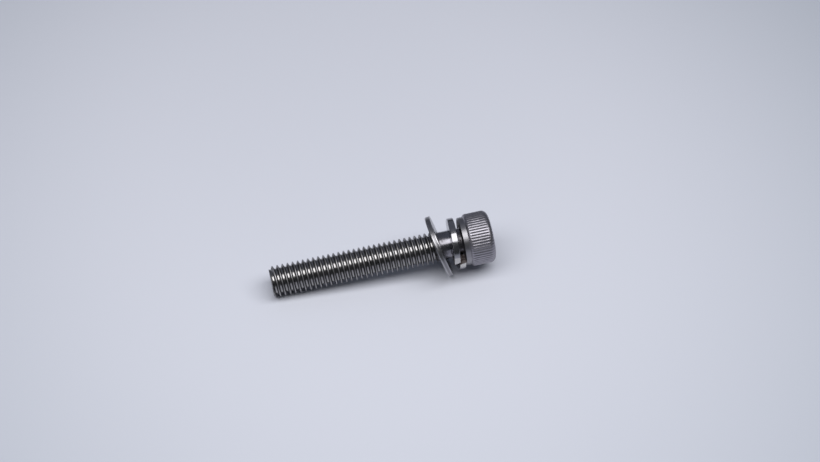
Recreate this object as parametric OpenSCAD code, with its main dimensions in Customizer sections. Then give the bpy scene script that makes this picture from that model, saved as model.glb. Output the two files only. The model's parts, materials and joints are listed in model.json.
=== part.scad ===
// Hex socket cap screw with a captive spring washer and a captive flat washer.
// The screw lies on a level surface, Z = 0, on its thread tip and on the rim of the flat washer.
// X runs from the tip towards the head, Z is up, and the origin is below the middle of the part.

/* [Screw] */
// Length from the tip to the underside of the head
under_head_len = 30; // [20:0.5:50]
// Diameter over the thread crests
thread_d = 4.85; // [4.8:0.01:5]
// Distance from one thread crest to the next
pitch = 0.8; // [0.7:0.1:1]
// Depth of the thread, from crest to root
thread_depth = 0.5; // [0.35:0.01:0.52]
// Width of the flat on each crest
crest_w = 0.08; // [0.05:0.01:0.15]
// Width of the flat in each root
root_w = 0.17; // [0.1:0.01:0.2]
// Length of the chamfer at the tip
tip_chamfer = 0.3; // [0.2:0.05:0.8]
// Depth of the plain neck below the thread crests, all round
neck_step = 0.275; // [0.25:0.005:0.3]
// Length of the plain neck between the thread and the head
neck_len = 4.8; // [4.8:0.1:8]
// Radius of the fillet between the neck and the head
neck_fillet = 0.15; // [0.05:0.05:0.2]

/* [Head] */
// Diameter of the head over the knurl
head_d = 8.15; // [8:0.05:8.7]
// Height of the head
head_h = 4.7; // [4.5:0.05:5]
// Diameter of the bearing face under the head
bearing_d = 7.45; // [7.3:0.05:7.9]
// Height of the plain collar above the bearing face
collar_h = 0.8; // [0.5:0.05:0.9]
// Height of the cone from the collar out to the knurl
collar_cone_h = 0.4; // [0.3:0.05:0.8]
// Radius of the rounded top edge of the head
crown_r = 0.9; // [0.4:0.05:1]
// Number of knurl ridges round the head
knurl_count = 54; // [40:1:70]
// Depth of the knurl grooves
knurl_depth = 0.14; // [0.05:0.01:0.2]
// How much the tips of the ridges are rounded off, taken as a flat
ridge_trim = 0.02; // [0.01:0.005:0.04]

/* [Socket] */
// Width of the hex socket across its flats
socket_af = 4; // [3.8:0.05:4.2]
// Depth of the flat walls of the socket
socket_depth = 2.5; // [2:0.1:3]
// Depth of the drilled cone below the socket walls
socket_cone_h = 0.6; // [0.3:0.1:0.9]
// Width of the chamfer round the mouth of the socket
socket_chamfer = 0.15; // [0.05:0.05:0.3]

/* [Spring washer] */
// Play of the spring washer on the neck, on the diameter
spring_play = 0.42; // [0.38:0.01:0.46]
// Width of the spring washer's section, from bore to rim
spring_w = 1.7; // [1.4:0.05:1.8]
// Thickness of the spring washer's section
spring_t = 1; // [0.9:0.05:1.2]
// How far the two ends stand apart along the axis
spring_rise = 0.9; // [0.6:0.05:1]
// Width of the split, as an angle round the washer
split_gap = 3; // [2:1:40]
// Slant of the split across the thickness, as an angle round the washer
split_slant = 4; // [0:1:30]
// Where the split's middle lies below the level of the axis, on the near side
split_below = 5; // [-90:1:90]
// Lean of the spring washer, its top towards the head
spring_lean = 1; // [0:0.5:3]
// Bevel on the long edges of the spring washer
spring_bevel = 0.12; // [0.05:0.01:0.3]

/* [Flat washer] */
// Play of the flat washer on the neck, on the diameter
flat_play = 0.35; // [0.3:0.01:0.4]
// Outer diameter of the flat washer
flat_d = 9.85; // [9.4:0.05:10.5]
// Thickness of the flat washer
flat_t = 0.8; // [0.8:0.05:1]
// Bevel on the edges of the flat washer
flat_bevel = 0.08; // [0.02:0.01:0.15]
// How far the flat washer's lean is turned round the screw, its near side towards the head
flat_turn = 9.5; // [-15:0.5:15]

/* [Fits] */
// Gap left between a washer's bore and the neck where they come closest
touch_gap = 0.02; // [0.01:0.005:0.03]
// Gap between the spring washer's sweep and the bearing face
head_gap = 0.04; // [0.02:0.01:0.1]
// Gap between the sweeps of the two washers
washer_gap = 0.05; // [0.03:0.01:0.2]

/* [Hidden] */
round_fn = 96;
spring_steps = 56;
over = 1;
// Angle from each end of the spring washer over which the slant of its cut dies away
slant_fade = 36;

thread_r = thread_d / 2;
root_r = thread_r - thread_depth;
neck_r = thread_r - neck_step;
neck_d = 2 * neck_r;
head_r = head_d / 2;
socket_r = socket_af / 2 / cos(30);

// Whole turns of thread from the tip's chamfer to the neck, and how far they reach
flank_w = (pitch - crest_w - root_w) / 2;
turn_count = floor((under_head_len - neck_len - tip_chamfer - crest_w) / pitch);
thread_end = tip_chamfer + turn_count * pitch + crest_w;

// The flat washer leans until both edges of its bore meet the neck
flat_bore = neck_d + flat_play;
flat_span = norm([flat_bore, flat_t]);
flat_lean = acos((neck_d + 2 * touch_gap) / flat_span) - atan(flat_t / flat_bore);

// The spring washer hangs on the neck, with its middle below the axis
spring_bore_r = neck_r + spring_play / 2;
spring_r = spring_bore_r + spring_w;
spring_h = spring_t + spring_rise;
spring_drop = spring_bore_r * cos(spring_lean) - spring_h / 2 * sin(spring_lean) - neck_r - touch_gap;

// Half the length that each washer sweeps along the screw, at the spring washer's rim
spring_reach = spring_h / 2 * cos(spring_lean) + (spring_r + spring_drop) * sin(spring_lean);
flat_reach = flat_t / 2 / cos(flat_lean) + (spring_r + spring_drop) * tan(flat_lean);

// Where the middle of each washer lies, counted from the tip
spring_at = under_head_len - head_gap - spring_reach;
flat_at = spring_at - spring_reach - washer_gap - flat_reach;

// How much of the flat washer's axis points up when the screw is tilted by an angle, and how far
// its rim then reaches below its middle
rest_t = flat_t / 2 - flat_bevel;
function washer_up(angle) = cos(flat_lean) * sin(angle) + sin(flat_lean) * cos(flat_turn) * cos(angle);
function washer_drop(angle) = flat_d / 2 * sqrt(1 - pow(washer_up(angle), 2)) + rest_t * washer_up(angle);

// The screw rests on the first full crest and on the flat washer's rim. Each round brings its tilt
// closer to the one at which both of them touch the surface.
function settled(angle, rounds) = rounds == 0
  ? angle
  : settled(asin((washer_drop(angle) - thread_r * cos(angle)) / (flat_at - tip_chamfer)), rounds - 1);
tilt = settled(0, 20);
tip_height = thread_r * cos(tilt) - tip_chamfer * sin(tilt);

// The part's reach along X when it lies at its tilt, from the tip's face to the crown
reach_back = -root_r * sin(tilt);
reach_front = (under_head_len + head_h - crown_r) * cos(tilt) + (head_r - crown_r) * sin(tilt) + crown_r;
middle_x = (reach_back + reach_front) / 2;

// Puts a shape that is built along Z, with Z = 0 at the tip, where the screw lies.
// Its X then points up and its Y across.
module lie() {
  translate([-middle_x, 0, tip_height])
    rotate([0, 90 - tilt, 0])
      rotate([0, 0, 180])
        children();
}

// Half the outline of the tip, thread and neck, as radius and height.
// Each turn of the thread is a closed ring with the true section.
function shank_outline() = concat(
  [[0, 0], [root_r, 0], [thread_r, tip_chamfer]],
  [for (i = [0 : turn_count - 1])
    let (crest_end = tip_chamfer + i * pitch + crest_w)
    each [
      [thread_r, crest_end],
      [root_r, crest_end + flank_w],
      [root_r, crest_end + flank_w + root_w],
      [thread_r, crest_end + 2 * flank_w + root_w]
    ]],
  [[thread_r, thread_end], [neck_r, thread_end + neck_step]],
  neck_fillet_arc(),
  [[0, under_head_len]]
);

function neck_fillet_arc() = [for (a = [180 : -15 : 90])
  [neck_r + neck_fillet + neck_fillet * cos(a), under_head_len - neck_fillet + neck_fillet * sin(a)]];

module shank() {
  rotate_extrude($fn = round_fn)
    polygon(shank_outline());
}

// The head before it is knurled, from the bearing face to the rounded crown
module head_blank() {
  rotate_extrude($fn = round_fn) {
    polygon([
      [0, 0],
      [bearing_d / 2, 0],
      [bearing_d / 2, collar_h],
      [head_r, collar_h + collar_cone_h],
      [head_r, head_h - crown_r],
      [head_r - crown_r, head_h],
      [0, head_h]
    ]);
    translate([head_r - crown_r, head_h - crown_r])
      circle(r = crown_r, $fn = round_fn);
  }
}

// A prism with one straight ridge for each tooth of the knurl
module knurl_prism() {
  step = 360 / knurl_count;
  outline = [for (i = [0 : knurl_count - 1])
    each [
      (head_r + ridge_trim) * [cos(i * step), sin(i * step)],
      (head_r - knurl_depth) * [cos((i + 0.5) * step), sin((i + 0.5) * step)]
    ]];
  linear_extrude(head_h + over)
    polygon(outline);
}

module socket() {
  translate([0, 0, head_h - socket_depth])
    cylinder(r = socket_r, h = socket_depth + over, $fn = 6);
  translate([0, 0, head_h - socket_depth - socket_cone_h])
    cylinder(r1 = 0, r2 = socket_af / 2, h = socket_cone_h, $fn = round_fn);
  translate([0, 0, head_h - socket_chamfer])
    cylinder(r1 = socket_r - socket_chamfer, r2 = socket_r + socket_chamfer, h = 2 * socket_chamfer,
      $fn = round_fn);
}

module head() {
  difference() {
    intersection() {
      head_blank();
      knurl_prism();
    }
    socket();
  }
}

module screw() {
  color("#9a9da0")
    lie() {
      shank();
      translate([0, 0, under_head_len])
        head();
    }
}

// The spring washer's section, from bore to rim and from the tip's side to the head's side
function spring_section() = let (
  low = -spring_t / 2,
  high = spring_t / 2,
  b = spring_bevel
) [
  [spring_bore_r + b, low], [spring_r - b, low], [spring_r, low + b], [spring_r, high - b],
  [spring_r - b, high], [spring_bore_r + b, high], [spring_bore_r, high - b], [spring_bore_r, low + b]
];

// How much of the split's slant is left where the coil has turned by an angle: all at its two ends
function end_share(turn) = max(0, 1 - min(turn, 360 - split_gap - turn) / slant_fade);

// A point of the section where the coil has turned by an angle; the slant shears the ends of the
// coil along its own helix
function spring_point(turn, p) = let (
  angle = turn + end_share(turn) * split_slant * p[1] / spring_t,
  along = spring_rise * (angle / (360 - split_gap) - 0.5)
) [p[0] * cos(angle), -p[0] * sin(angle), p[1] + along];

// One left-hand turn. It starts at angle 0 on the tip's side, and its angles run clockwise.
module spring_coil() {
  section = spring_section();
  n = len(section);
  points = [for (i = [0 : spring_steps], p = section)
    spring_point(i * (360 - split_gap) / spring_steps, p)];
  walls = [for (i = [0 : spring_steps - 1], j = [0 : n - 1])
    let (k = (j + 1) % n)
    each [
      [i * n + j, i * n + k, (i + 1) * n + j],
      [i * n + k, (i + 1) * n + k, (i + 1) * n + j]
    ]];
  first_end = [for (j = [n - 1 : -1 : 0]) j];
  last_end = [for (j = [0 : n - 1]) spring_steps * n + j];
  polyhedron(points, concat([first_end], walls, [last_end]));
}

module spring_washer() {
  color("#8d9093")
    lie()
      translate([-spring_drop, 0, spring_at])
        rotate([0, -spring_lean, 0])
          rotate([0, 0, 90 + split_below - split_gap / 2])
            spring_coil();
}

module flat_washer() {
  b = flat_bevel;
  color("#b4b7b9")
    lie()
      translate([0, 0, flat_at])
        rotate([0, 0, -flat_turn])
          rotate([0, flat_lean, 0])
            translate([0, 0, -flat_t / 2])
              rotate_extrude($fn = round_fn)
                polygon([
                  [flat_bore / 2, 0], [flat_d / 2 - b, 0], [flat_d / 2, b], [flat_d / 2, flat_t - b],
                  [flat_d / 2 - b, flat_t], [flat_bore / 2, flat_t]
                ]);
}

screw();
spring_washer();
flat_washer();
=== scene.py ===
import json
import math

import bmesh
import bpy
from mathutils import Matrix, Vector


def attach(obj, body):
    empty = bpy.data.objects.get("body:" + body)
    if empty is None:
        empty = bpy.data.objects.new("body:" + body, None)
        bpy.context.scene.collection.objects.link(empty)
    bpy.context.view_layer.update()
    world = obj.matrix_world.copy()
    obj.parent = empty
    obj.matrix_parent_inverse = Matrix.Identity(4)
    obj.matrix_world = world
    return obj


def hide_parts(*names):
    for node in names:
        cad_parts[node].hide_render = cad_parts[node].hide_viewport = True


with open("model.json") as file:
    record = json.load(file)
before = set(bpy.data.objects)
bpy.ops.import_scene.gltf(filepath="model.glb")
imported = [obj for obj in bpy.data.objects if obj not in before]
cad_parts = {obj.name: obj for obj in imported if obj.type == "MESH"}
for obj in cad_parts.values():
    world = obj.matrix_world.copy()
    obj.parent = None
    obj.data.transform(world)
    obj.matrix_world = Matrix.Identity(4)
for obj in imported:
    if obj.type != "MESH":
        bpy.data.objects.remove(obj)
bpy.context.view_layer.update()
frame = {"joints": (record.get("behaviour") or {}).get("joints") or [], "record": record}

# ----------------------------------------------------------------------------------------------
# Screw
# M5 x 30 socket cap screw, cold headed from stainless wire in one piece. The blank is turned down
# at the neck, the thread and the knurl are rolled, and the hex socket is punched. It lies on the
# first crest of its thread.
# ----------------------------------------------------------------------------------------------

MM = 0.001

UNDER_HEAD = 30.0
PITCH = 0.8
CREST_R = 2.425
ROOT_R = 1.925
CREST_HALF = 0.04
CREST_ROUND = 0.035
ROOT_HALF = 0.125
TIP_CHAMFER = 0.3
FIRST_CREST = 0.15
TIP_HOLLOW = ((ROOT_R - 0.08, 0.0), (ROOT_R - 0.5, 0.03), (ROOT_R - 1.2, 0.045), (0.0, 0.05))
THREAD_END = 25.18
RUN_OUT = 0.28
WASHER_SIDE = 0.6
NECK_R = 2.15
NECK_FILLET = 0.15
# How far below the head the painted shade on the neck starts, and where it is full
NECK_PAINTED_SHADE = (1.5, 1.0)
FILLET_STEPS = 4
THREAD_STEPS = 108
CREST_PHASE = 0.707

HEAD_STEPS = 432
HEAD_H = 4.7
HEAD_R = 4.075
BEARING_R = 3.725
BEARING_EDGE = 0.07
COLLAR_H = 0.8
CONE_H = 0.4
CROWN_R = 0.9
CROWN_STEPS = 10
KNURL_DEPTH = 0.06
KNURL_ROWS = 12
KNURL_CLEAR = 0.1
KNURL_START = (0.85, 1.1)
KNURL_INNER_R = 3.3
KNURL_SHAPE = (0.0, 0.0, 0.12, 0.55, 1.0, 0.55, 0.12, 0.0)

SOCKET_AF = 4.0
SOCKET_DEPTH = 2.5
SOCKET_CONE = 0.6
SOCKET_CHAMFER = 0.15

mounts = {mount["name"]: mount for mount in frame["record"]["mounts"]}
thread_mount = mounts["thread"]
to_head = -Vector(thread_mount["axis"])
half_thread = thread_mount["dims"]["length_mm"] / 2 * MM
screw_tip = Vector(thread_mount["pos_m"]) - to_head * (half_thread + TIP_CHAMFER * MM)


def lying(foot, along):
    """The matrix that puts a shape built in mm along Z on the table: X up, Y to the near side."""
    along = along.normalized()
    near = Vector((0.0, -1.0, 0.0))
    up = near.cross(along).normalized()
    near = along.cross(up)
    turned = Matrix((up, near, along)).transposed().to_4x4()
    return Matrix.Translation(foot) @ turned @ Matrix.Scale(MM, 4)


def chain(bm, points, closed=False):
    """Vertices at pairs of radius and height, joined in a row by edges."""
    verts = [bm.verts.new((radius, 0.0, height)) for radius, height in points]
    edges = [bm.edges.new(pair) for pair in zip(verts, verts[1:])]
    if closed:
        edges.append(bm.edges.new((verts[-1], verts[0])))
    return verts + edges


def spun(bm, geom, steps, turn=math.tau, rise=0.0):
    """Spins a row of edges about Z, along which it climbs by rise in all."""
    full = turn == math.tau and rise == 0.0
    bmesh.ops.spin(bm, geom=geom, cent=(0, 0, 0), axis=(0, 0, 1), dvec=(0, 0, rise / steps),
                   angle=turn, steps=steps, use_merge=full)


def repeated(bm, count, turn=0.0, rise=0.0):
    """Copies what is there, each copy turned about Z and raised once more, and welds them."""
    first = bm.verts[:] + bm.edges[:] + bm.faces[:]
    for number in range(1, count):
        copy = bmesh.ops.duplicate(bm, geom=first)["geom"]
        verts = [part for part in copy if isinstance(part, bmesh.types.BMVert)]
        place = Matrix.Translation((0, 0, rise * number)) @ Matrix.Rotation(turn * number, 4, "Z")
        bmesh.ops.transform(bm, matrix=place, verts=verts)
    bmesh.ops.remove_doubles(bm, verts=bm.verts, dist=0.001)


def made(bm, name, materials, place, sharp=32.0):
    """Closes off a mesh: puts it in place, faces outwards, marks its sharp edges."""
    bmesh.ops.transform(bm, matrix=place, verts=bm.verts)
    bmesh.ops.recalc_face_normals(bm, faces=bm.faces)
    for edge in bm.edges:
        edge.smooth = edge.calc_face_angle(0.0) < math.radians(sharp)
    mesh = bpy.data.meshes.new(name)
    bm.to_mesh(mesh)
    bm.free()
    mesh.shade_smooth()
    piece = bpy.data.objects.new(name, mesh)
    bpy.context.scene.collection.objects.link(piece)
    for material in materials:
        mesh.materials.append(material)
    return piece


def fade(value, start, end):
    """0 before start, 1 after end, and smooth between."""
    t = min(1.0, max(0.0, (value - start) / (end - start)))
    return t * t * (3.0 - 2.0 * t)


def set_radius(vert, radius):
    flat = Vector((vert.co.x, vert.co.y, 0.0))
    if flat.length > 1e-6:
        flat *= radius / flat.length
        vert.co.x, vert.co.y = flat.x, flat.y


# One pitch of the thread, from the middle of a crest to the middle of the next
depth = CREST_R - ROOT_R
half_turn = [
    (CREST_R, 0.0),
    (CREST_R - 0.006, CREST_HALF - 0.005),
    (CREST_R - CREST_ROUND, CREST_HALF + 0.02),
    (ROOT_R + 0.055, PITCH / 2 - ROOT_HALF - 0.032),
    (ROOT_R + 0.012, PITCH / 2 - ROOT_HALF + 0.015),
    (ROOT_R, PITCH / 2),
]
whole_turn = half_turn + [(radius, PITCH - height) for radius, height in half_turn[-2::-1]]
turns = math.ceil((THREAD_END + RUN_OUT) / PITCH) + 3

bm = bmesh.new()
profile = chain(bm, [(radius, height + CREST_PHASE - 2 * PITCH) for radius, height in whole_turn])
spun(bm, profile, THREAD_STEPS, rise=PITCH)
repeated(bm, turns, rise=PITCH)

# The chamfer at the tip, and the run-out at the neck, which starts sooner on the upper side
for vert in bm.verts:
    radius = math.hypot(vert.co.x, vert.co.y)
    upper = vert.co.x / radius
    cone = ROOT_R + depth * vert.co.z / FIRST_CREST
    radius = min(radius, max(cone, ROOT_R))
    run_out = fade(vert.co.z - WASHER_SIDE * (1.0 - upper) / 2, THREAD_END, THREAD_END + RUN_OUT)
    set_radius(vert, radius + (NECK_R - radius) * run_out)
neck_start = THREAD_END + RUN_OUT + WASHER_SIDE
for height, side in ((0.0, -1.0), (neck_start, 1.0)):
    bmesh.ops.bisect_plane(bm, geom=bm.verts[:] + bm.edges[:] + bm.faces[:], dist=0.0005,
                           plane_co=(0, 0, height), plane_no=(0, 0, side), clear_outer=True)


def rim(bm, height):
    """The open edges at one height."""
    return [edge for edge in bm.edges
            if edge.is_boundary and all(abs(vert.co.z - height) < 0.001 for vert in edge.verts)]


def drawn_up(bm, edges, height, radius):
    """Draws an open rim on to a new height and radius, and returns the new rim."""
    new = bmesh.ops.extrude_edge_only(bm, edges=edges)["geom"]
    for vert in new:
        if isinstance(vert, bmesh.types.BMVert):
            vert.co.z = height
            set_radius(vert, radius)
    return [edge for edge in new if isinstance(edge, bmesh.types.BMEdge) and edge.is_boundary]


# The cropped end of the tip, slightly hollow
tip_rim = rim(bm, 0.0)
for radius, height in TIP_HOLLOW:
    tip_rim = drawn_up(bm, tip_rim, height, radius)
bmesh.ops.pointmerge(bm, verts=list({vert for edge in tip_rim for vert in edge.verts}),
                     merge_co=(0.0, 0.0, TIP_HOLLOW[-1][1]))

# The neck, drawn up in two rows where the painted shade under the head starts and where it is
# full, and the fillet under the head
neck_rim = rim(bm, neck_start)
for below in NECK_PAINTED_SHADE:
    neck_rim = drawn_up(bm, neck_rim, UNDER_HEAD - below, NECK_R)
for step in range(FILLET_STEPS + 1):
    angle = math.radians(90 * step / FILLET_STEPS)
    neck_rim = drawn_up(bm, neck_rim, UNDER_HEAD - NECK_FILLET * (1 - math.sin(angle)),
                        NECK_R + NECK_FILLET * (1 - math.cos(angle)))

# The head, from its bearing face round to the bottom of the socket
socket_r = SOCKET_AF / 2 / math.cos(math.radians(30))
mouth_r = socket_r + SOCKET_CHAMFER
crown_angles = [math.radians(90 * step / CROWN_STEPS) for step in range(1, CROWN_STEPS + 1)]
crown = [(HEAD_R - CROWN_R * (1 - math.cos(a)), HEAD_H - CROWN_R * (1 - math.sin(a)))
         for a in crown_angles]
knurl_foot = COLLAR_H + CONE_H + KNURL_CLEAR
knurl_rows = [(HEAD_R, knurl_foot + (HEAD_H - CROWN_R - knurl_foot) * row / KNURL_ROWS)
              for row in range(KNURL_ROWS + 1)]
outline = [
    (2.7, 0.0), (3.2, 0.0),
    (BEARING_R - BEARING_EDGE, 0.0), (BEARING_R - BEARING_EDGE * 0.3, BEARING_EDGE * 0.3),
    (BEARING_R, BEARING_EDGE), (BEARING_R, COLLAR_H - 0.06), (BEARING_R + 0.02, COLLAR_H),
    (BEARING_R + 0.1, COLLAR_H + 0.06), (BEARING_R + 0.19, COLLAR_H + 0.14),
    (BEARING_R + 0.26, COLLAR_H + 0.23), (BEARING_R + 0.32, COLLAR_H + 0.35),
] + knurl_rows + crown + [
    (3.0, HEAD_H), (mouth_r + 0.05, HEAD_H), (mouth_r, HEAD_H - 0.01),
    (socket_r, HEAD_H - SOCKET_CHAMFER), (socket_r, HEAD_H - SOCKET_DEPTH),
    (SOCKET_AF / 2 - 0.06, HEAD_H - SOCKET_DEPTH - 0.02),
    (1.0, HEAD_H - SOCKET_DEPTH - SOCKET_CONE / 2), (0.0, HEAD_H - SOCKET_DEPTH - SOCKET_CONE),
]
head = bmesh.new()
outline = chain(head, [(radius, height + UNDER_HEAD) for radius, height in outline])
spun(head, outline, HEAD_STEPS // 6, turn=math.tau / 6)
repeated(head, 6, turn=math.tau / 6)


def knurl_groove(vert):
    """How deep in a groove of the knurl a point of the head lies, from 0 to 1."""
    around = math.atan2(vert.co.y, vert.co.x) % math.tau
    tooth = round(around / math.tau * HEAD_STEPS) % len(KNURL_SHAPE)
    return KNURL_SHAPE[tooth] * fade(vert.co.z - UNDER_HEAD, *KNURL_START)


for vert in head.verts:
    radius = math.hypot(vert.co.x, vert.co.y)
    height = vert.co.z - UNDER_HEAD
    around = math.atan2(vert.co.y, vert.co.x) % math.tau
    if abs(radius - socket_r) < 0.001:
        in_flat = around % math.radians(60) - math.radians(30)
        wall = SOCKET_AF / 2 / math.cos(in_flat)
        set_radius(vert, wall)
        if height > HEAD_H - SOCKET_DEPTH / 2:
            vert.co.z = UNDER_HEAD + HEAD_H - (mouth_r - wall)
    elif radius > KNURL_INNER_R and height > COLLAR_H:
        set_radius(vert, min(radius, HEAD_R - KNURL_DEPTH * knurl_groove(vert)))
head_mesh = bpy.data.meshes.new("head_half")
head.to_mesh(head_mesh)
head.free()
bm.from_mesh(head_mesh)
bpy.data.meshes.remove(head_mesh)
bmesh.ops.bridge_loops(bm, edges=[edge for edge in bm.edges if edge.is_boundary])

# Where painted shade darkens the steels: on the flanks of the thread between its bright roots and
# crests, in the grooves of the knurl, and in the corner under the head
hollow = bm.verts.layers.float.new("hollow")
for vert in bm.verts:
    radius = math.hypot(vert.co.x, vert.co.y)
    if vert.co.z < neck_start:
        above_root = fade(radius, ROOT_R + 0.005, ROOT_R + 0.05)
        vert[hollow] = above_root * (1.0 - fade(radius, CREST_R - 0.05, CREST_R - 0.005))
    elif radius > KNURL_INNER_R:
        vert[hollow] = knurl_groove(vert)
    elif vert.co.z < UNDER_HEAD + COLLAR_H / 2:
        vert[hollow] = fade(UNDER_HEAD - vert.co.z, *NECK_PAINTED_SHADE)

THREAD, NECK, COLLAR, HEAD, SOCKET, CREST, TIP = range(7)


def screw_steel_at(height, radius):
    """Which of the screw's steels shows at a height and a radius."""
    if height > UNDER_HEAD + COLLAR_H:
        return SOCKET if radius < mouth_r else HEAD
    if height > UNDER_HEAD - 0.01:
        return COLLAR
    if height > neck_start - WASHER_SIDE / 2:
        return NECK
    if radius > CREST_R - CREST_ROUND + 0.005:
        return CREST
    return TIP if radius < ROOT_R - 0.04 else THREAD


for face in bm.faces:
    middle = face.calc_center_median()
    face.material_index = screw_steel_at(middle.z, math.hypot(middle.x, middle.y))


def nodes_of(tree):
    """Short ways to add a node to a tree, join two sockets, reckon, and map a range."""
    def add(kind, **settings):
        node = tree.nodes.new(kind)
        for key, value in settings.items():
            setattr(node, key, value)
        return node

    def join(source, target):
        tree.links.new(source, target)

    def reckon(operation, *values, clamp=False):
        node = add("ShaderNodeMath", operation=operation, use_clamp=clamp)
        for value, socket in zip(values, node.inputs):
            if isinstance(value, float):
                socket.default_value = value
            else:
                join(value, socket)
        return node.outputs[0]

    def ranged(value, start, end, low=0.0, high=1.0, kind="LINEAR"):
        node = add("ShaderNodeMapRange", interpolation_type=kind)
        limits = {"From Min": start, "From Max": end, "To Min": low, "To Max": high}
        for socket, limit in limits.items():
            node.inputs[socket].default_value = limit
        join(value, node.inputs["Value"])
        return node.outputs[0]

    return add, join, reckon, ranged


def wear_and_shade_group():
    """Soft clouds, fine pits and short scratches over a steel surface, and painted shade where
    the mesh is marked hollow.
    """
    tree = bpy.data.node_groups.new("steel wear and painted shade", "ShaderNodeTree")
    colours, numbers = ("Steel", "Painted Shade"), ("Hollow", "Roughness", "Cloud Scale", "Scratches")
    for name in colours:
        tree.interface.new_socket(name, in_out="INPUT", socket_type="NodeSocketColor")
    for name in numbers:
        tree.interface.new_socket(name, in_out="INPUT", socket_type="NodeSocketFloat")
    tree.interface.new_socket("Colour", in_out="OUTPUT", socket_type="NodeSocketColor")
    for name in ("Roughness", "Height"):
        tree.interface.new_socket(name, in_out="OUTPUT", socket_type="NodeSocketFloat")
    add, join, reckon, ranged = nodes_of(tree)
    given = add("NodeGroupInput").outputs
    out = add("NodeGroupOutput").inputs
    coords = add("ShaderNodeTexCoord").outputs["Object"]

    cloud = add("ShaderNodeTexNoise", noise_dimensions="3D")
    cloud.inputs["Detail"].default_value = 5.0
    cloud.inputs["Roughness"].default_value = 0.62
    join(coords, cloud.inputs["Vector"])
    join(given["Cloud Scale"], cloud.inputs["Scale"])
    pits = add("ShaderNodeTexNoise", noise_dimensions="3D")
    pits.inputs["Scale"].default_value = 16000.0
    pits.inputs["Detail"].default_value = 3.0
    join(coords, pits.inputs["Vector"])

    # Scratches: fine straight hairlines, at the points of two long drawn-out cell patterns
    lines = []
    for turn in ((0.4, 0.3, 0.9), (-0.8, 0.5, -0.6)):
        aim = add("ShaderNodeMapping")
        aim.inputs["Rotation"].default_value = turn
        aim.inputs["Scale"].default_value = (2600.0, 130.0, 2600.0)
        join(coords, aim.inputs["Vector"])
        hair = add("ShaderNodeTexVoronoi", feature="F1")
        hair.inputs["Scale"].default_value = 1.0
        join(aim.outputs[0], hair.inputs["Vector"])
        lines.append(ranged(hair.outputs["Distance"], 0.075, 0.03, kind="SMOOTHSTEP"))
    scratch = reckon("MULTIPLY", reckon("MAXIMUM", *lines), given["Scratches"])

    # Painted shade darkens the steel in the hollows, more where the cloud is dense
    dense = ranged(cloud.outputs[0], 0.38, 0.66, low=0.35, kind="SMOOTHSTEP")
    painted_shade_mask = reckon("MULTIPLY", given["Hollow"], dense, clamp=True)
    mottle = ranged(cloud.outputs[0], 0.3, 0.7, low=0.9, high=1.06)
    tinted = add("ShaderNodeMix", data_type="RGBA", blend_type="MULTIPLY")
    tinted.inputs["Factor"].default_value = 1.0
    join(given["Steel"], tinted.inputs[6])
    join(mottle, tinted.inputs[7])
    colour = add("ShaderNodeMix", data_type="RGBA")
    join(painted_shade_mask, colour.inputs["Factor"])
    join(tinted.outputs[2], colour.inputs[6])
    join(given["Painted Shade"], colour.inputs[7])
    join(colour.outputs[2], out["Colour"])

    spread = ranged(cloud.outputs[0], 0.3, 0.7, low=-0.04, high=0.06)
    rough = reckon("ADD", given["Roughness"], spread)
    join(reckon("MULTIPLY_ADD", painted_shade_mask, 0.3, rough, clamp=True), out["Roughness"])

    pitted = reckon("MULTIPLY", pits.outputs[0], 0.25)
    join(reckon("SUBTRACT", pitted, scratch), out["Height"])
    return tree


def axis_group(foot, along):
    """Where a point lies on the screw: how far along its axis and how far out, in mm."""
    tree = bpy.data.node_groups.new("place on the axis", "ShaderNodeTree")
    tree.interface.new_socket("Along", in_out="OUTPUT", socket_type="NodeSocketFloat")
    tree.interface.new_socket("Out", in_out="OUTPUT", socket_type="NodeSocketFloat")
    add, join, reckon, ranged = nodes_of(tree)
    out = add("NodeGroupOutput").inputs
    coords = add("ShaderNodeTexCoord").outputs["Object"]
    from_foot = add("ShaderNodeVectorMath", operation="SUBTRACT")
    from_foot.inputs[1].default_value = foot
    join(coords, from_foot.inputs[0])
    in_mm = add("ShaderNodeVectorMath", operation="SCALE")
    in_mm.inputs["Scale"].default_value = 1.0 / MM
    join(from_foot.outputs[0], in_mm.inputs[0])
    along_axis = add("ShaderNodeVectorMath", operation="DOT_PRODUCT")
    along_axis.inputs[1].default_value = along
    join(in_mm.outputs[0], along_axis.inputs[0])
    across = add("ShaderNodeVectorMath", operation="CROSS_PRODUCT")
    across.inputs[1].default_value = along
    join(in_mm.outputs[0], across.inputs[0])
    away = add("ShaderNodeVectorMath", operation="LENGTH")
    join(across.outputs[0], away.inputs[0])
    join(along_axis.outputs["Value"], out["Along"])
    join(away.outputs["Value"], out["Out"])
    return tree


steel_wear_and_shade = wear_and_shade_group()
on_screw = axis_group(screw_tip, to_head)


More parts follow.
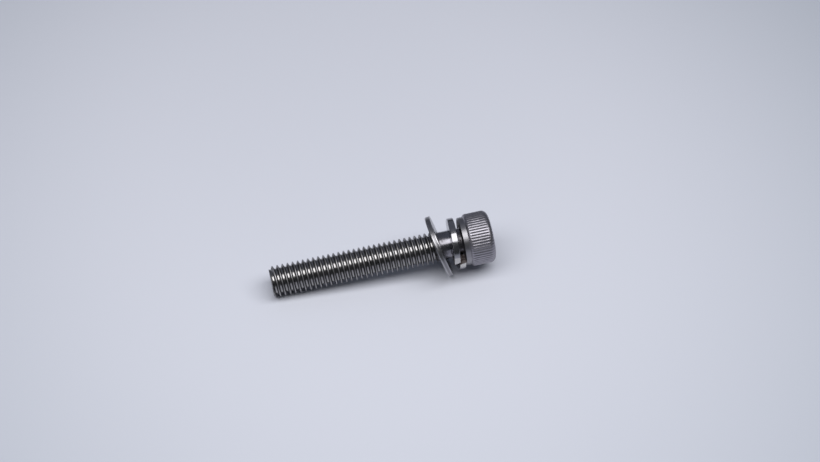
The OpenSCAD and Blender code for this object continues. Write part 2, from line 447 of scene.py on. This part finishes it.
def steel(name, colour, painted_shade, roughness, cloud=900.0, scratches=0.4, bump=0.15, place=None,
          rings=None):
    """Bare steel with wear, and painted shade where the mesh is marked hollow. rings gives the
    scale and strength of fine tool marks that run round the axis at a place."""
    material = bpy.data.materials.new(name)
    material.use_nodes = True
    tree = material.node_tree
    add, join, reckon, ranged = nodes_of(tree)
    shader = tree.nodes["Principled BSDF"]
    shader.inputs["Metallic"].default_value = 1.0
    wear = add("ShaderNodeGroup", node_tree=steel_wear_and_shade)
    wear.inputs["Steel"].default_value = (*colour, 1.0)
    wear.inputs["Painted Shade"].default_value = (*painted_shade, 1.0)
    wear.inputs["Roughness"].default_value = roughness
    wear.inputs["Cloud Scale"].default_value = cloud
    wear.inputs["Scratches"].default_value = scratches
    height = wear.outputs["Height"]
    deep = add("ShaderNodeAttribute", attribute_name="hollow")
    join(deep.outputs["Fac"], wear.inputs["Hollow"])
    if rings:
        spot = add("ShaderNodeGroup", node_tree=place)
        marks = add("ShaderNodeCombineXYZ")
        join(spot.outputs["Out"], marks.inputs["X"])
        join(spot.outputs["Along"], marks.inputs["Y"])
        tool = add("ShaderNodeTexNoise", noise_dimensions="2D")
        tool.inputs["Scale"].default_value = rings[0]
        tool.inputs["Detail"].default_value = 3.0
        join(marks.outputs[0], tool.inputs["Vector"])
        height = reckon("MULTIPLY_ADD", tool.outputs[0], rings[1], height)
    bumped = add("ShaderNodeBump")
    bumped.inputs["Strength"].default_value = bump
    bumped.inputs["Distance"].default_value = 0.00002
    join(height, bumped.inputs["Height"])
    join(bumped.outputs[0], shader.inputs["Normal"])
    join(wear.outputs["Colour"], shader.inputs["Base Color"])
    join(wear.outputs["Roughness"], shader.inputs["Roughness"])
    return material


thread_steel = steel("rolled thread steel", (0.31, 0.302, 0.303), (0.04, 0.039, 0.044), 0.19,
                     place=on_screw, rings=(9.0, 0.6))
neck_steel = steel("turned neck steel", (0.275, 0.268, 0.3), (0.04, 0.036, 0.036), 0.17,
                   place=on_screw, rings=(9.0, 0.35))
collar_steel = steel("turned collar steel", (0.28, 0.274, 0.293), (0.05, 0.05, 0.055), 0.35,
                     place=on_screw, rings=(9.0, 0.6))
head_steel = steel("knurled head steel", (0.33, 0.318, 0.355), (0.05, 0.05, 0.055), 0.35,
                   place=on_screw, rings=(7.0, 0.4))
socket_steel = steel("punched socket steel", (0.24, 0.238, 0.25), (0.04, 0.04, 0.045), 0.36,
                     bump=0.3)
crest_steel = steel("rubbed crest steel", (0.44, 0.433, 0.444), (0.12, 0.118, 0.122), 0.4,
                    cloud=1500.0, bump=0.1)
tip_steel = steel("cropped tip steel", (0.34, 0.33, 0.335), (0.06, 0.06, 0.06), 0.4, cloud=1800.0,
                  scratches=1.0, bump=0.7)

screw_steels = (thread_steel, neck_steel, collar_steel, head_steel, socket_steel, crest_steel,
                tip_steel)
screw = made(bm, "screw_turned", screw_steels, lying(screw_tip, to_head))
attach(screw, "screw")
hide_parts("screw")

# ----------------------------------------------------------------------------------------------
# Spring washer
# A split ring of flat drawn spring wire, coiled left-handed and cropped nearly square. It hangs
# loose on the neck under the head, unpressed, so that its two scuffed ends lie side by side.
# ----------------------------------------------------------------------------------------------

SPRING_BORE_R = 2.36
SPRING_R = 4.06
SPRING_T = 1.0
SPRING_RISE = 0.9
SPLIT_GAP = 3.0
SPLIT_SLANT = 4.0
SPLIT_BELOW = 5.0
SPRING_EDGE = 0.14
SPRING_STEPS = 144
SCUFFED_END = 16.0
CROPPED_PAINTED_SHADE = 0.9
END_MIDDLE = (3.2, 0.03)

joints = {joint["name"]: joint for joint in frame["joints"]}
spring_middle = Vector(joints["spring_washer_turn"]["pos_m"])
spring_along = Vector(joints["spring_washer_turn"]["axis"])

coil = 360.0 - SPLIT_GAP
bm = bmesh.new()
chain(bm, [(SPRING_BORE_R, -SPRING_T / 2), (SPRING_R, -SPRING_T / 2), (SPRING_R, SPRING_T / 2),
           (SPRING_BORE_R, SPRING_T / 2)], closed=True)
bmesh.ops.bevel(bm, geom=bm.verts[:], offset=SPRING_EDGE, affect="VERTICES", segments=3,
                profile=0.5, material=-1)
sides = [edge for edge in bm.edges if edge.calc_length() > 0.5]
bmesh.ops.subdivide_edges(bm, edges=sides, cuts=5)

# The bar is drawn out straight, one unit of length for each degree, cropped at a slight slant at
# both ends, and then coiled
DRAWN, CROPPED, SCUFFED = range(3)
bmesh.ops.translate(bm, verts=bm.verts, vec=(0.0, -SPLIT_SLANT, 0.0))
bmesh.ops.spin(bm, geom=bm.verts[:] + bm.edges[:], cent=(0, 0, 0), axis=(0, 1, 0), angle=0.0,
               dvec=(0.0, (coil + 2 * SPLIT_SLANT) / SPRING_STEPS, 0.0), steps=SPRING_STEPS)
hollow = bm.verts.layers.float.new("hollow")
for end, side in ((0.0, -1.0), (coil, 1.0)):
    slanted = Vector((0.0, side, -side * SPLIT_SLANT / SPRING_T))
    bmesh.ops.bisect_plane(bm, geom=bm.verts[:] + bm.edges[:] + bm.faces[:], dist=0.0005,
                           plane_co=(0.0, end, 0.0), plane_no=slanted, clear_outer=True)
ends = bmesh.ops.holes_fill(bm, edges=[edge for edge in bm.edges if edge.is_boundary], sides=0)
for face in ends["faces"]:
    # Each outline starts at the same corner, so that every run cuts it into the same triangles
    outline = sorted(face.verts, key=lambda vert: math.atan2(vert.co.z - END_MIDDLE[1],
                                                             vert.co.x - END_MIDDLE[0]))
    bm.faces.remove(face)
    cropped_end = bm.faces.new(outline)
    cropped_end.material_index = CROPPED
    # The cropped ends, which face each other across the split, are darkened with painted shade
    for vert in outline:
        vert[hollow] = CROPPED_PAINTED_SHADE
for face in bm.faces:
    turn = face.calc_center_median().y
    if face.material_index == DRAWN and not SCUFFED_END < turn < coil - SCUFFED_END:
        face.material_index = SCUFFED
for vert in bm.verts:
    radius, turn, height = vert.co
    angle = math.radians(-turn)
    rise = SPRING_RISE * (turn / coil - 0.5)
    vert.co = (radius * math.cos(angle), radius * math.sin(angle), height + rise)
start = Matrix.Rotation(math.radians(90.0 + SPLIT_BELOW - SPLIT_GAP / 2), 4, "Z")
spring_steel = steel("drawn spring steel", (0.32, 0.316, 0.338), (0.06, 0.06, 0.06), 0.18,
                     bump=0.12)
cropped_steel = steel("cropped spring steel", (0.34, 0.3, 0.3), (0.06, 0.042, 0.04), 0.4,
                      cloud=2600.0, scratches=0.8, bump=0.6)
scuffed_steel = steel("scuffed spring steel", (0.55, 0.538, 0.527), (0.1, 0.09, 0.09), 0.28,
                      cloud=2200.0, scratches=1.0, bump=0.4)
spring = made(bm, "spring_washer_wire", (spring_steel, cropped_steel, scuffed_steel),
              lying(spring_middle, spring_along) @ start)
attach(spring, "spring_washer")
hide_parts("spring_washer")

# ----------------------------------------------------------------------------------------------
# Flat washer
# A plain washer stamped from stainless sheet and put on before the thread was rolled, so that it
# can't come off. It leans on the neck until both edges of its bore touch, and its rim rests on
# the table.
# ----------------------------------------------------------------------------------------------

FLAT_BORE_R = 2.325
FLAT_R = 4.925
FLAT_T = 0.8
SHEARED_INSET = 0.035
WASHER_STEPS = 192

flat_middle = Vector(joints["flat_washer_turn"]["pos_m"])
flat_along = Vector(joints["flat_washer_turn"]["axis"])

bm = bmesh.new()
half = FLAT_T / 2
stamped = [
    (FLAT_BORE_R, -half + 0.03), (FLAT_BORE_R, 0.1), (FLAT_BORE_R + 0.02, half - 0.02),
    (FLAT_BORE_R + 0.05, half), (FLAT_R - 0.06, half), (FLAT_R - 0.02, half - 0.02),
    (FLAT_R, half - 0.07), (FLAT_R, half - 0.17), (FLAT_R - SHEARED_INSET, half - 0.25),
    (FLAT_R - SHEARED_INSET, -half + 0.36), (FLAT_R, -half + 0.28), (FLAT_R, -half + 0.18),
    (FLAT_R - 0.02, -half + 0.1), (FLAT_R - 0.07, -half + 0.025), (FLAT_R - 0.16, -half),
    (FLAT_BORE_R + 0.1, -half), (FLAT_BORE_R + 0.02, -half + 0.01),
]
spun(bm, chain(bm, stamped, closed=True), WASHER_STEPS)

# The middle of the rim, between its two rolled edges, is sheared
STAMPED, SHEARED = range(2)
for face in bm.faces:
    middle = face.calc_center_median()
    in_rim = math.hypot(middle.x, middle.y) > FLAT_R - SHEARED_INSET - 0.015
    face.material_index = SHEARED if in_rim and -half + 0.3 < middle.z < half - 0.2 else STAMPED
washer_steel = steel("stamped washer steel", (0.345, 0.34, 0.357), (0.08, 0.08, 0.08), 0.26,
                     bump=0.25, scratches=0.7)
sheared_steel = steel("sheared washer rim", (0.23, 0.226, 0.24), (0.08, 0.08, 0.08), 0.34,
                      bump=0.6, cloud=2200.0, scratches=0.3)
washer = made(bm, "flat_washer_stamped", (washer_steel, sheared_steel),
              lying(flat_middle, flat_along))
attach(washer, "flat_washer")
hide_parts("flat_washer")

# ----------------------------------------------------------------------------------------------
# Table, light and camera
# A smooth white table top under one large overhead softbox, with a painted pool of light in its
# colour that falls off to bluish grey towards its edges. The wall on the far side of the room
# throws back a little bluish light, and the other walls are dim.
# ----------------------------------------------------------------------------------------------

TABLE_PAINTED_LIT = (0.692, 0.71, 0.793)
TABLE_PAINTED_FALLOFF = (0.372, 0.412, 0.478)
TABLE_HALF = 3.0
PAINTED_LIT_POOL = (0.35, 1.7)

bm = bmesh.new()
bmesh.ops.create_grid(bm, x_segments=1, y_segments=1, size=TABLE_HALF)
table_paint = bpy.data.materials.new("white table top with painted light pool")
table_paint.use_nodes = True
paint = table_paint.node_tree.nodes["Principled BSDF"]
paint.inputs["Roughness"].default_value = 0.35
add, join, reckon, ranged = nodes_of(table_paint.node_tree)
# Painted light pool: the table's colour is lighter in a patch round the screw and falls off to
# bluish grey towards its edges. It is painted, not made by the lamps
pool = add("ShaderNodeMapping", vector_type="TEXTURE")
pool.inputs["Location"].default_value = (0.0016, 0.0266, 0.0)
pool.inputs["Rotation"].default_value = (0.0, 0.0, -0.04)
pool.inputs["Scale"].default_value = (0.081, 0.1024, 1.0)
join(add("ShaderNodeTexCoord").outputs["Object"], pool.inputs["Vector"])
reach = add("ShaderNodeVectorMath", operation="LENGTH")
join(pool.outputs[0], reach.inputs[0])
falls_off = ranged(reach.outputs["Value"], *PAINTED_LIT_POOL, kind="SMOOTHSTEP")
shade = add("ShaderNodeMix", data_type="RGBA")
shade.inputs[6].default_value = (*TABLE_PAINTED_LIT, 1.0)
shade.inputs[7].default_value = (*TABLE_PAINTED_FALLOFF, 1.0)
join(falls_off, shade.inputs["Factor"])
join(shade.outputs[2], paint.inputs["Base Color"])
table_mesh = bpy.data.meshes.new("table_top")
bm.to_mesh(table_mesh)
bm.free()
table_mesh.materials.append(table_paint)
table = bpy.data.objects.new("table_top", table_mesh)
bpy.context.scene.collection.objects.link(table)


def softbox(name, elevation, azimuth, distance, width, depth, power):
    """A square area lamp that faces the screw. Azimuth 0 is the near side."""
    high, round_by = math.radians(elevation), math.radians(azimuth)
    out = Vector((-math.sin(round_by) * math.cos(high), -math.cos(round_by) * math.cos(high),
                  math.sin(high)))
    lamp = bpy.data.lights.new(name, "AREA")
    lamp.shape = "RECTANGLE"
    lamp.size = width
    lamp.size_y = depth
    lamp.energy = power
    holder = bpy.data.objects.new(name, lamp)
    holder.matrix_world = (Matrix.Translation(out * distance)
                           @ out.to_track_quat("Z", "Y").to_matrix().to_4x4())
    bpy.context.scene.collection.objects.link(holder)
    return lamp


softbox("overhead softbox", 74.0, 0.0, 0.32, 0.62, 0.21, 1.46)
far_wall = softbox("far wall", 45.0, 180.0, 0.6, 1.4, 0.84, 0.66)
far_wall.color = (0.74, 0.8, 1.0)

world = bpy.data.worlds.new("dim room")
bpy.context.scene.world = world
world.use_nodes = True
room = world.node_tree.nodes["Background"]
room.inputs["Color"].default_value = (0.85, 0.92, 1.0, 1.0)
room.inputs["Strength"].default_value = 0.06

view = bpy.context.scene.view_settings
view.view_transform = "Standard"

CAMERA_AZIMUTH = 11.754
CAMERA_ELEVATION = 44.997
CAMERA_DISTANCE = 0.37009
LOOK_AT = Vector((4.849, 2.057, 6.963)) * MM

lens = bpy.data.cameras.new("camera")
lens.lens = 105.44
lens.sensor_width = 36.0
lens.clip_start = 0.01
camera = bpy.data.objects.new("camera", lens)
turn, lift = math.radians(CAMERA_AZIMUTH), math.radians(CAMERA_ELEVATION)
towards = Vector((math.sin(turn) * math.cos(lift), math.cos(turn) * math.cos(lift),
                  -math.sin(lift)))
camera.matrix_world = (Matrix.Translation(LOOK_AT - towards * CAMERA_DISTANCE)
                       @ towards.to_track_quat("-Z", "Y").to_matrix().to_4x4())
bpy.context.scene.collection.objects.link(camera)
bpy.context.scene.camera = camera
